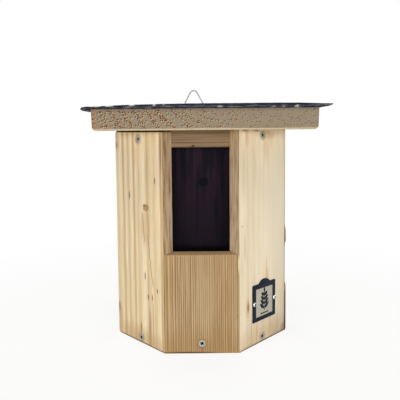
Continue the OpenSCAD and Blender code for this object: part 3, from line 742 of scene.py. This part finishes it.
def make_slate_material():
    """Blue-black slate: matt and riven on top, paler where flakes have come off its edges, with
    painted highlights on the top arris over the board's left end.
    """
    made, tree = new_material("riven_blue_black_slate")
    _, place = own_axes(tree, ROOF_FOOT, X, ROOF_UP)
    # The riven face has low waves a few centimetres long, and a grain under a millimetre
    sheet = add(tree, VECTOR, {0: place, 1: (1, 1, 0.45)}, operation="MULTIPLY")
    cleft = add(tree, NOISE, {"Vector": sheet, "Scale": 0.09, "Detail": 6.0, "Roughness": 0.6})
    grain = add(tree, NOISE, {"Vector": place, "Scale": 1.3, "Detail": 3.0})
    broken = add(tree, ATTRIBUTE, attribute_name="break").outputs["Fac"]
    # Flakes of the broken edge are about a centimetre long and a millimetre high
    flaky = add(tree, VECTOR, {0: place, 1: (0.13, 1, 0.5)}, operation="MULTIPLY")
    chips = add(tree, NOISE, {"Vector": flaky, "Scale": 0.8, "Detail": 5.0, "Roughness": 0.6})
    level = add(tree, MATH, {0: broken, 1: 0.3, 2: chips}, operation="MULTIPLY_ADD")
    at_edge = add(tree, RANGE, {"Value": broken, "From Max": 0.15, "To Max": 0.9})
    grey = add(tree, RANGE, {"Value": level, "From Min": 0.66, "From Max": 0.82})
    grey = add(tree, MATH, {0: grey, 1: at_edge}, operation="MULTIPLY")
    # The palest flecks are painted highlights, mostly where the top arris glints
    bright = add(tree, RANGE, {"Value": level, "From Min": 0.9, "From Max": 0.97})
    sheets = add(tree, RANGE, {"Value": cleft, "From Min": 0.38, "From Max": 0.62})
    # Thin sheets end in low curved steps
    steps = add(tree, MATH, {0: cleft, 1: 17.0}, operation="MULTIPLY")
    steps = add(tree, MATH, {0: steps}, operation="FRACT")
    step = add(tree, RAMP, {"Fac": steps}, stops=[(0, 0), (0.75, 0.25), (0.93, 1), (1, 0)])
    lip = add(tree, MATH, {0: step, 1: 0.4}, operation="MULTIPLY")
    body = painted(tree, colour("#0F1327"), (sheets, colour("#232839")),
                   (lip, colour("#3B4150")), (grey, colour("#63666A")),
                   (bright, colour("#B9B6AA")))
    shade = add(tree, RANGE, {"Value": grain, "From Min": 0.3, "From Max": 0.7,
                              "To Min": 0.75, "To Max": 1.25})
    body = add(tree, VECTOR, {0: body, "Scale": shade}, operation="SCALE")
    height = add(tree, MATH, {0: cleft, 1: 3.0, 2: grain}, operation="MULTIPLY_ADD")
    height = add(tree, MATH, {0: step, 1: 0.8, 2: height}, operation="MULTIPLY_ADD")
    rough = add(tree, RANGE, {"Value": grain, "To Min": 0.5, "To Max": 0.75})
    finish_surface(tree, body, rough, height, relief=0.25, **{"Specular IOR Level": 0.12})
    return made


place_piece(make_slate(), make_slate_material(), replaced=["roof_slate"], smooth=50)

# ---- Wire and screws ----



def make_metal(name, bright, dull, rough, grit=0.5):
    """Bare metal whose skin varies a little in tone; grit is its spots per mm.

    A screw's recess is painted near-black as painted shade.
    """
    made, tree = new_material(name)
    coords = add(tree, COORD)
    place = add(tree, VECTOR, {0: coords.outputs["Object"], "Scale": 1 / MM}, operation="SCALE")
    spots = add(tree, NOISE, {"Vector": place, "Scale": grit, "Detail": 3.0})
    share = add(tree, RANGE, {"Value": spots, "From Min": 0.35, "From Max": 0.65})
    # Painted shade in the screws' recesses
    recess = add(tree, ATTRIBUTE, attribute_name="recess").outputs["Fac"]
    base = painted(tree, colour(bright), (share, colour(dull)), (recess, colour("#08090A")))
    polish = add(tree, RANGE, {"Value": spots, "To Min": rough - 0.1, "To Max": rough + 0.15})
    finish_surface(tree, base, polish, spots, relief=0.02, Metallic=1.0)
    return made


# Galvanised wire: dull spangled zinc. Screws: bright zinc plate, with a greenish passivation
galvanised = make_metal("galvanised_wire", "#9FA2A1", "#7F8281", 0.45)
zinc_plate = make_metal("zinc_plated_steel", "#B5BAB0", "#868B83", 0.33, grit=1.5)


def smooth_copy(node_name, finish):
    """Stands for a packed wire part: the same solid with its vertices merged."""
    shape = bmesh.new()
    shape.from_mesh(NODES[node_name].data)
    bmesh.ops.remove_doubles(shape, verts=shape.verts, dist=MERGE)
    mesh = bpy.data.meshes.new(node_name + "_drawn")
    shape.to_mesh(mesh)
    shape.free()
    return place_piece(mesh, finish, replaced=[node_name], smooth=50)


for wire_node in ("hanger_wire", "left_staple", "right_staple"):
    smooth_copy(wire_node, galvanised)

SCREW_SIZES = ("Top Diameter", "Under Diameter", "Head Height", "Slot Length", "Slot Width",
               "Slot Depth", "Shank Diameter", "Shank Length")


def make_screw_tree():
    """Cross-recessed screws, one at each point, with the head facing along 'facing'."""
    tree = bpy.data.node_groups.new("cross_recessed_screws", "GeometryNodeTree")
    tree.interface.new_socket("Geometry", in_out="INPUT", socket_type="NodeSocketGeometry")
    for name in SCREW_SIZES:
        tree.interface.new_socket(name, in_out="INPUT", socket_type="NodeSocketFloat")
    tree.interface.new_socket("Metal", in_out="INPUT", socket_type="NodeSocketMaterial")
    tree.interface.new_socket("Geometry", in_out="OUTPUT", socket_type="NodeSocketGeometry")
    given = add(tree, GROUP_IN).outputs
    half = {name: add(tree, MATH, {0: given[name], 1: 0.5}, operation="MULTIPLY")
            for name in SCREW_SIZES}

    # Head and shank, with the head's face at height 0
    head = add(tree, CONE, {"Vertices": 40, "Radius Top": half["Top Diameter"],
                            "Radius Bottom": half["Under Diameter"],
                            "Depth": given["Head Height"]})
    down = add(tree, MATH, {0: given["Head Height"], 1: -1.0}, operation="MULTIPLY")
    head = add(tree, MOVE, {"Geometry": head, "Translation": add(tree, COMBINE, {"Z": down})})
    shank = add(tree, "GeometryNodeMeshCylinder", {
        "Vertices": 20, "Radius": half["Shank Diameter"], "Depth": given["Shank Length"]})
    lower = add(tree, MATH, {0: half["Shank Length"], 1: -1.0}, operation="MULTIPLY")
    lower = add(tree, MATH, {0: lower, 1: half["Head Height"]}, operation="SUBTRACT")
    shank = add(tree, MOVE, {"Geometry": shank, "Translation": add(tree, COMBINE, {"Z": lower})})
    body = add(tree, "GeometryNodeMeshBoolean", {"Mesh": [head, shank]}, operation="UNION",
               solver="EXACT")

    # A cross of two slots with a tapered hole in the middle
    deep = add(tree, MATH, {0: given["Slot Depth"], 1: 2.0}, operation="MULTIPLY")
    cuts = []
    for first, second in (("Slot Length", "Slot Width"), ("Slot Width", "Slot Length")):
        size = add(tree, COMBINE, {"X": given[first], "Y": given[second], "Z": deep})
        cuts.append(add(tree, "GeometryNodeMeshCube", {"Size": size}))
    middle = add(tree, CONE, {"Vertices": 16, "Radius Top": half["Slot Length"],
                              "Radius Bottom": half["Slot Width"], "Depth": deep})
    middle = add(tree, MOVE, {"Geometry": middle, "Scale": (0.72, 0.72, 1.0),
                              "Translation": add(tree, COMBINE, {"Z": add(
                                  tree, MATH, {0: given["Slot Depth"], 1: -1.3},
                                  operation="MULTIPLY")})})
    cross = add(tree, "GeometryNodeMeshBoolean", {"Mesh": [*cuts, middle]},
                operation="UNION", solver="EXACT")
    cross = add(tree, STORE, {"Geometry": cross, "Name": "recess", "Value": 1.0},
                data_type="FLOAT", domain="FACE")
    body = add(tree, STORE, {"Geometry": body, "Name": "recess", "Value": 0.0},
               data_type="FLOAT", domain="FACE")
    screw = add(tree, "GeometryNodeMeshBoolean", {"Mesh 1": body, "Mesh 2": cross},
                operation="DIFFERENCE", solver="EXACT")

    # One at each point, turned to its face and at a random angle about its own axis
    facing = add(tree, "GeometryNodeInputNamedAttribute", {"Name": "facing"},
                 data_type="FLOAT_VECTOR")
    turned = add(tree, "FunctionNodeAlignRotationToVector", {"Vector": facing}, axis="Z")
    any_angle = add(tree, "FunctionNodeRandomValue", {"Min": 0.0, "Max": math.pi / 2, "Seed": 4},
                    data_type="FLOAT")
    spin = add(tree, "FunctionNodeAxisAngleToRotation", {"Axis": (0, 0, 1), "Angle": any_angle})
    turned = add(tree, "FunctionNodeRotateRotation", {"Rotation": turned, "Rotate By": spin},
                 rotation_space="LOCAL")
    screws = add(tree, "GeometryNodeInstanceOnPoints", {
        "Points": given["Geometry"], "Instance": screw, "Rotation": turned})
    screws = add(tree, "GeometryNodeRealizeInstances", {"Geometry": screws})
    screws = add(tree, "GeometryNodeSetMaterial", {"Geometry": screws,
                                                   "Material": given["Metal"]})
    add(tree, GROUP_OUT, {"Geometry": screws})
    return tree


def evaluated_mesh(holder, name):
    """The mesh of an object with its modifiers or its curve worked out; the object goes."""
    scene_now = bpy.context.evaluated_depsgraph_get()
    mesh = bpy.data.meshes.new_from_object(holder.evaluated_get(scene_now), depsgraph=scene_now)
    mesh.name = name
    bpy.data.objects.remove(holder)
    return mesh


def make_screws(name, tree, places, metal, **sizes):
    """Screws at places, pairs of a point and the direction that the head faces; sizes in mm."""
    points = bpy.data.meshes.new(name + "_places")
    points.from_pydata([point for point, _ in places], [], [])
    facing = points.attributes.new("facing", "FLOAT_VECTOR", "POINT")
    for k, (_, direction) in enumerate(places):
        facing.data[k].vector = direction
    holder = bpy.data.objects.new(name, points)
    bpy.context.scene.collection.objects.link(holder)
    grow = holder.modifiers.new("grow", "NODES")
    grow.node_group = tree
    for item in tree.interface.items_tree:
        size = sizes.get(item.name.replace(" ", "_").lower())
        if size is not None:
            grow[item.identifier] = size * MM
        elif item.name == "Metal":
            grow[item.identifier] = metal
    bpy.context.view_layer.update()
    return place_piece(evaluated_mesh(holder, name), metal, smooth=30)


# Heights and distances of the screws, in mm, where the countersinks are
SIDE_SCREW_IN = 44
SIDE_SCREW_UP = 6.5
PANEL_SCREW_UP = 11.5
SCREW_DROP = {-1: 10, 1: 6.5}               # below the roof, left and right
REAR_SCREW_OUT = 48
CEILING_T = 20
SUNK = 0.15                                 # how far the heads lie below the wood


def roof_height(y):
    """Height of the roof's underside in mm, at a depth of the box."""
    return (ROOF_HEIGHT + (y - FRONT_Y) * math.tan(ROOF_PITCH)) / MM


screw_places = [(Vector((0, FRONT_Y + SUNK * MM, PANEL_SCREW_UP * MM)), -Y)]
for side in (-1, 1):
    top_y = FRONT_Y + SIDE_SCREW_IN * MM * math.sin(SIDE_ANGLE)
    out = SIDE_OUT if side > 0 else LEFT_OUT
    for up in (SIDE_SCREW_UP, roof_height(top_y) - SCREW_DROP[side]):
        screw_places.append((on_side(side, SIDE_SCREW_IN, up, -SUNK), out))
    for up in (BOARD_T / MM / 2, roof_height(REAR_Y) - CEILING_T / 2):
        rear = Vector((side * REAR_SCREW_OUT * MM, REAR_Y - SUNK * MM, up * MM))
        screw_places.append((rear, Y))

screw_tree = make_screw_tree()
make_screws("countersunk_screws", screw_tree, screw_places, zinc_plate,
            top_diameter=8.0, under_diameter=3.8, head_height=1.95, slot_length=4.5,
            slot_width=1.5, slot_depth=1.2, shank_diameter=2.6, shank_length=34)

# ---- Name plate ----

PLATE_IN, PLATE_UP = 23.5, 28.0             # from the front corner and the base
PLATE_W, PLATE_H, PLATE_T = 46.0, 45.0, 1.2
PLATE_GAP = 0.2
DOME_AT, DOME_W, DOME_RISE = 23.4, 22.6, 5.0
FRAME_SIDE, FRAME_LOW, FRAME_HIGH = 6.2, 5.0, 5.8
FIXINGS = [(3.4, 22.0), (44.0, 22.0)]       # across and up the plate


def arc(centre, radius, start, end, steps):
    """Points along a circle between two angles in degrees."""
    turn = [math.radians(start + (end - start) * k / steps) for k in range(steps + 1)]
    return [(centre[0] + radius * math.cos(t), centre[1] + radius * math.sin(t)) for t in turn]


def plate_outline():
    """The plate's edge: a rectangle with a low dome and a little round at its corners."""
    round_by = 0.9
    dome_r = (DOME_W ** 2 / 4 + DOME_RISE ** 2) / (2 * DOME_RISE)
    half_angle = math.degrees(math.asin(DOME_W / 2 / dome_r))
    centre = (DOME_AT, PLATE_H + DOME_RISE - dome_r)
    return [
        *arc((round_by, round_by), round_by, 180, 270, 4),
        *arc((PLATE_W - round_by, round_by), round_by, 270, 360, 4),
        *arc((PLATE_W - round_by, PLATE_H - round_by), round_by, 0, 90, 4),
        *arc(centre, dome_r, 90 - half_angle, 90 + half_angle, 20),
        *arc((round_by, PLATE_H - round_by), round_by, 90, 180, 4),
    ]


def rectangle(left, low, right, high):
    """The corners of a rectangle, as an outline."""
    return [(left, low), (right, low), (right, high), (left, high)]


def cut_sheet(name, outlines, thick, out, rounded=0.12):
    """A sheet cut to outlines, in mm on the plate, with its back at that distance out."""
    curve = bpy.data.curves.new(name, "CURVE")
    curve.dimensions = "2D"
    curve.fill_mode = "BOTH"
    curve.bevel_depth = rounded * MM
    curve.offset = -rounded * MM
    curve.extrude = (thick / 2 - rounded) * MM
    for outline in outlines:
        spline = curve.splines.new("POLY")
        spline.points.add(len(outline) - 1)
        for point, (u, v) in zip(spline.points, outline):
            point.co = (u * MM, v * MM, 0, 1)
        spline.use_cyclic_u = True
    holder = bpy.data.objects.new(name, curve)
    bpy.context.scene.collection.objects.link(holder)
    mesh = evaluated_mesh(holder, name)
    origin = on_side(1, PLATE_IN, PLATE_UP, out + thick / 2)
    axes = Matrix((SIDE_ACROSS, Z, SIDE_OUT)).transposed().to_4x4()
    mesh.transform(Matrix.Translation(origin) @ axes)
    shape = bmesh.new()
    shape.from_mesh(mesh)
    bmesh.ops.remove_doubles(shape, verts=shape.verts, dist=0.002 * MM)
    bmesh.ops.recalc_face_normals(shape, faces=shape.faces)
    shape.to_mesh(mesh)
    shape.free()
    return mesh


def leaf(foot, angle, length, wide):
    """A pointed leaf from its foot, at an angle in degrees, as an outline."""
    turn = Matrix.Rotation(math.radians(angle), 2)
    steps = 7
    edge = [(length * k / steps, wide / 2 * math.sin(math.pi * (k / steps) ** 0.8))
            for k in range(steps + 1)]
    edge += [(u, -v) for u, v in reversed(edge[1:-1])]
    return [tuple(turn @ Vector(p) + Vector(foot)) for p in edge]


def sprig():
    """A plain upright twig with pairs of leaves, over a short bar."""
    middle, foot, top = PLATE_W / 2, 13.5, 34.5
    shapes = [rectangle(middle - 0.45, foot - 2.5, middle + 0.45, top)]
    pairs = 4
    for k in range(pairs):
        up = foot + (top - foot) * k / pairs
        length = 11.5 - 1.4 * k
        for side, lean in ((1, 38), (-1, 142)):
            shapes.append(leaf((middle + side * 0.5, up), lean, length, 4.4))
    shapes.append(leaf((middle, top - 1), 90, 6, 3.6))
    shapes.append(rectangle(middle - 8, 7.2, middle + 8, 8.6))
    return shapes


def make_enamel(name, tone, speck):
    """Enamel on sheet metal: a smooth satin coat, hardly mottled, that glints little."""
    made, tree = new_material(name)
    coords = add(tree, COORD)
    place = add(tree, VECTOR, {0: coords.outputs["Object"], "Scale": 1 / MM}, operation="SCALE")
    mottle = add(tree, NOISE, {"Vector": place, "Scale": 0.5, "Detail": 3.0})
    share = add(tree, RANGE, {"Value": mottle, "From Min": 0.4, "From Max": 0.75})
    base = painted(tree, colour(tone), (share, colour(speck)))
    rough = add(tree, RANGE, {"Value": mottle, "To Min": 0.4, "To Max": 0.55})
    finish_surface(tree, base, rough, mottle, relief=0.02, **{"Specular IOR Level": 0.15})
    return made


navy_enamel = make_enamel("navy_enamel", "#070C20", "#0F152A")
cream_enamel = make_enamel("cream_enamel", "#C2BBA9", "#B3AC9A")

field = rectangle(FRAME_SIDE, FRAME_LOW, PLATE_W - FRAME_SIDE, PLATE_H - FRAME_HIGH)
place_piece(cut_sheet("plate_frame", [plate_outline(), field], PLATE_T, PLATE_GAP),
            navy_enamel, replaced=["name_plate"], smooth=40)
OVERLAP = 0.3                               # of the field under the frame's inner edge
FIELD_T = PLATE_T - 0.25                    # the frame stands a quarter of a mm above it
behind = rectangle(FRAME_SIDE - OVERLAP, FRAME_LOW - OVERLAP,
                   PLATE_W - FRAME_SIDE + OVERLAP, PLATE_H - FRAME_HIGH + OVERLAP)
place_piece(cut_sheet("plate_field", [behind], FIELD_T, PLATE_GAP),
            cream_enamel, smooth=40)
place_piece(cut_sheet("plate_sprig", sprig(), 0.2, PLATE_GAP + FIELD_T - 0.05, rounded=0.04),
            navy_enamel, smooth=40)

# Plate fixings: small domed screws in bright nickel, nearly white
fixing_metal = make_metal("bright_nickel_plate", "#D2D4D5", "#A8ABAE", 0.3, grit=2.0)
make_screws("plate_screws", screw_tree,
            [(on_side(1, PLATE_IN + u, PLATE_UP + v, PLATE_GAP + PLATE_T + 0.9), SIDE_OUT)
             for u, v in FIXINGS], fixing_metal,
            top_diameter=3.6, under_diameter=5.4, head_height=0.95, slot_length=2.8,
            slot_width=1.1, slot_depth=0.7, shank_diameter=1.8, shank_length=12)

# ---- Stage, light and camera ----

scene = bpy.context.scene
scene.view_settings.view_transform = "Standard"


def seen_directly(tree):
    """1 for what the camera sees straight, in gloss or through glass."""
    path = add(tree, "ShaderNodeLightPath")
    shown = path.outputs["Is Camera Ray"]
    for name in ("Is Glossy Ray", "Is Transmission Ray"):
        shown = add(tree, MATH, {0: shown, 1: path.outputs[name]}, operation="MAXIMUM")
    return shown


def make_world():
    """White where it is seen; soft even light for the object."""
    world = bpy.data.worlds.new("white_studio")
    scene.world = world
    world.use_nodes = True
    tree = world.node_tree
    tree.nodes.clear()
    white = add(tree, "ShaderNodeBackground", {"Color": (1, 1, 1, 1), "Strength": 1.0})
    soft = add(tree, "ShaderNodeBackground", {"Color": (1, 1, 1, 1), "Strength": 0.3})
    both = add(tree, "ShaderNodeMixShader", {0: seen_directly(tree), 1: soft, 2: white})
    add(tree, "ShaderNodeOutputWorld", {"Surface": both})


def make_floor(half=1.6, near=0.3, far=0.9):
    """White paper that keeps the shadow near the box and fades into the backdrop."""
    mesh = bpy.data.meshes.new("floor")
    corners = [(-half, -half, 0), (half, -half, 0), (half, half, 0), (-half, half, 0)]
    mesh.from_pydata(corners, [], [(0, 1, 2, 3)])
    made, tree = new_material("white_paper")
    shown = seen_directly(tree)
    tone = painted(tree, colour("#9C9C9A"), (shown, colour("#F4F4F2")))
    paper = add(tree, "ShaderNodeBsdfDiffuse", {"Color": tone})
    glow = add(tree, "ShaderNodeEmission", {"Color": (1, 1, 1, 1), "Strength": 1.0})
    coords = add(tree, COORD)
    away = add(tree, VECTOR, {0: coords.outputs["Object"]}, operation="LENGTH")
    share = add(tree, RANGE, {"Value": away, "From Min": near, "From Max": far,
                              "To Min": 0.8, "To Max": 1.0})
    share = add(tree, MATH, {0: shown, 1: share}, operation="MULTIPLY")
    both = add(tree, "ShaderNodeMixShader", {0: share, 1: paper, 2: glow})
    add(tree, OUTPUT, {"Surface": both})
    mesh.materials.append(made)
    floor = bpy.data.objects.new("floor", mesh)
    scene.collection.objects.link(floor)


def make_lamp(name, place, size, power, target=Vector((0, 0, 0.14))):
    """A softbox of that size in metres and power in watts, turned to the middle of the box."""
    lamp = bpy.data.lights.new(name, "AREA")
    lamp.shape = "RECTANGLE"
    lamp.size, lamp.size_y = size
    lamp.energy = power
    holder = bpy.data.objects.new(name, lamp)
    holder.location = place
    holder.rotation_euler = (target - Vector(place)).to_track_quat("-Z", "Y").to_euler()
    scene.collection.objects.link(holder)


def make_camera():
    """Nearly half a metre in front of the box, level with its opening, looking slightly down."""
    lens = bpy.data.cameras.new("camera")
    lens.sensor_width = 36
    lens.lens = 35.2
    lens.clip_start = 0.01
    camera = bpy.data.objects.new("camera", lens)
    down, turn, roll = 0.0656, 0.0010, -0.0086
    aim = Euler((math.pi / 2 - down, 0, -turn)).to_matrix() @ Matrix.Rotation(roll, 3, "Z")
    camera.location = Vector((-1.44, -480.4, 205.2)) * MM
    camera.rotation_euler = aim.to_euler()
    scene.collection.objects.link(camera)
    scene.camera = camera


make_world()
make_floor()
make_lamp("front_softbox", (0, -1.7, 0.16), (1.6, 0.3), 21.5)
make_lamp("top_softbox", (0, -0.65, 1.4), (1.4, 0.8), 11)
make_lamp("rear_left_softbox", (-1.1, 1.3, 0.5), (0.9, 0.9), 14)
make_lamp("rear_right_softbox", (1.1, 1.3, 0.5), (0.9, 0.9), 14)
make_camera()
